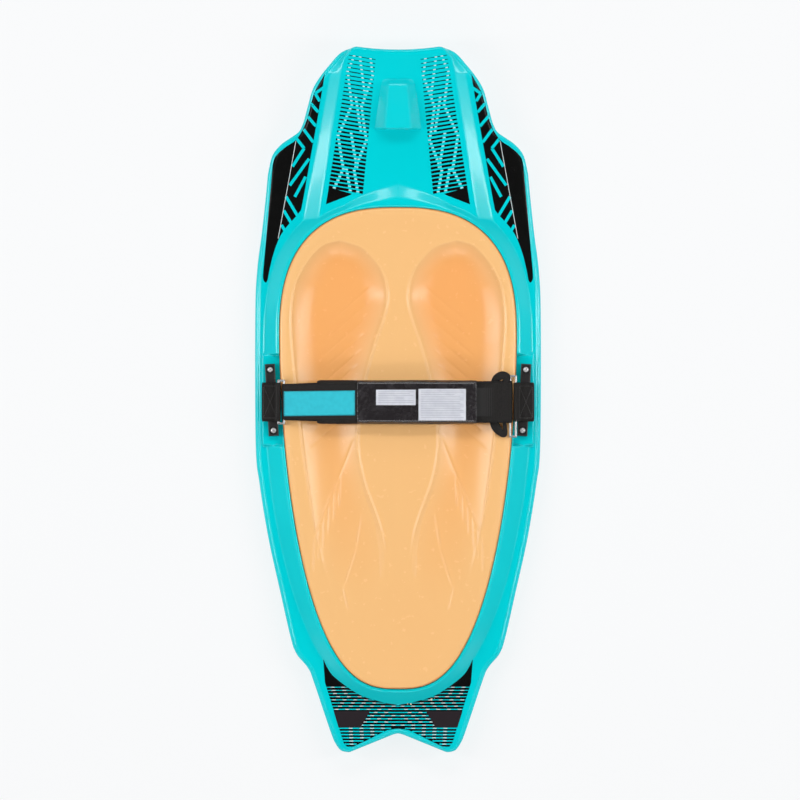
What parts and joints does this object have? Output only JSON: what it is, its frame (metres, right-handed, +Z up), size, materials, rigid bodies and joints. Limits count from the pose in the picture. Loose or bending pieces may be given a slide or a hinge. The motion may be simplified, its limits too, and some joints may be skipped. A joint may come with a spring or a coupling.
{
  "type": "kneeboard",
  "caption": "Moulded kneeboard with winged nose, swallow tail, tow hook, recessed knee pad and hook-and-loop knee strap between two anchor bars.",
  "frame": {"origin": "on the resting surface, under the middle of the board's length and width", "axes": "+Y towards the nose, +X to the rider's right, +Z up out of the deck"},
  "size_m": [0.5072, 1.2396, 0.11],
  "materials": {
    "teal_skin": "moulded satin gloss",
    "core_foam": "rigid foam",
    "pad_foam": "moulded foam, satin",
    "black_plastic": "moulded",
    "stainless": "satin",
    "brass_insert": "turned",
    "webbing": "ribbed weave",
    "neoprene": "neoprene, knit face",
    "teal_label": "woven label",
    "vinyl": "crinkled gloss",
    "white_print": "printed",
    "hook_loop": "hook and loop"
  },
  "bodies": {
    "board": {"deck_shell": "teal_skin", "hull_shell": "teal_skin", "foam_core": "core_foam", "knee_pad": "pad_foam", "fill_plug": "black_plastic", "left_anchor_bar": "black_plastic", "right_anchor_bar": "black_plastic", "left_anchor_screws": "stainless", "right_anchor_screws": "stainless", "left_threaded_inserts": "brass_insert", "right_threaded_inserts": "brass_insert", "left_anchor_band": "webbing", "right_anchor_band": "webbing"},
    "left_ring": {"left_ring": "stainless"},
    "strap": {"strap_webbing": "webbing", "strap_pad": "neoprene", "strap_label": "teal_label", "vinyl_patch": "vinyl", "info_panels": "white_print", "hook_tape": "hook_loop"},
    "right_ring": {"right_ring": "stainless"},
    "tail": {"right_tail_webbing": "webbing", "loop_tape": "hook_loop", "pull_loop": "webbing"}
  },
  "joints": [
    {"name": "left_ring_hinge", "type": "hinge", "parent": "board", "child": "left_ring", "pos_m": [-0.21, 0, 0.071], "axis": [0, -1, 0], "range_deg": [0, 75]},
    {"name": "strap_hinge", "type": "hinge", "parent": "left_ring", "child": "strap", "pos_m": [-0.2, 0, 0.071], "axis": [0, -1, 0], "range_deg": [0, 90]},
    {"name": "right_ring_hinge", "type": "hinge", "parent": "board", "child": "right_ring", "pos_m": [0.207, 0, 0.068], "axis": [0, 1, 0], "range_deg": [0, 36]},
    {"name": "tail_hinge", "type": "hinge", "parent": "right_ring", "child": "tail", "pos_m": [0.197, 0, 0.068], "axis": [0, 1, 0], "range_deg": [0, 45]}
  ],
  "couplings": [
    {"joint": "right_ring_hinge", "follows": "strap_hinge", "ratio": 0.4},
    {"joint": "tail_hinge", "follows": "strap_hinge", "ratio": 0.5}
  ]
}
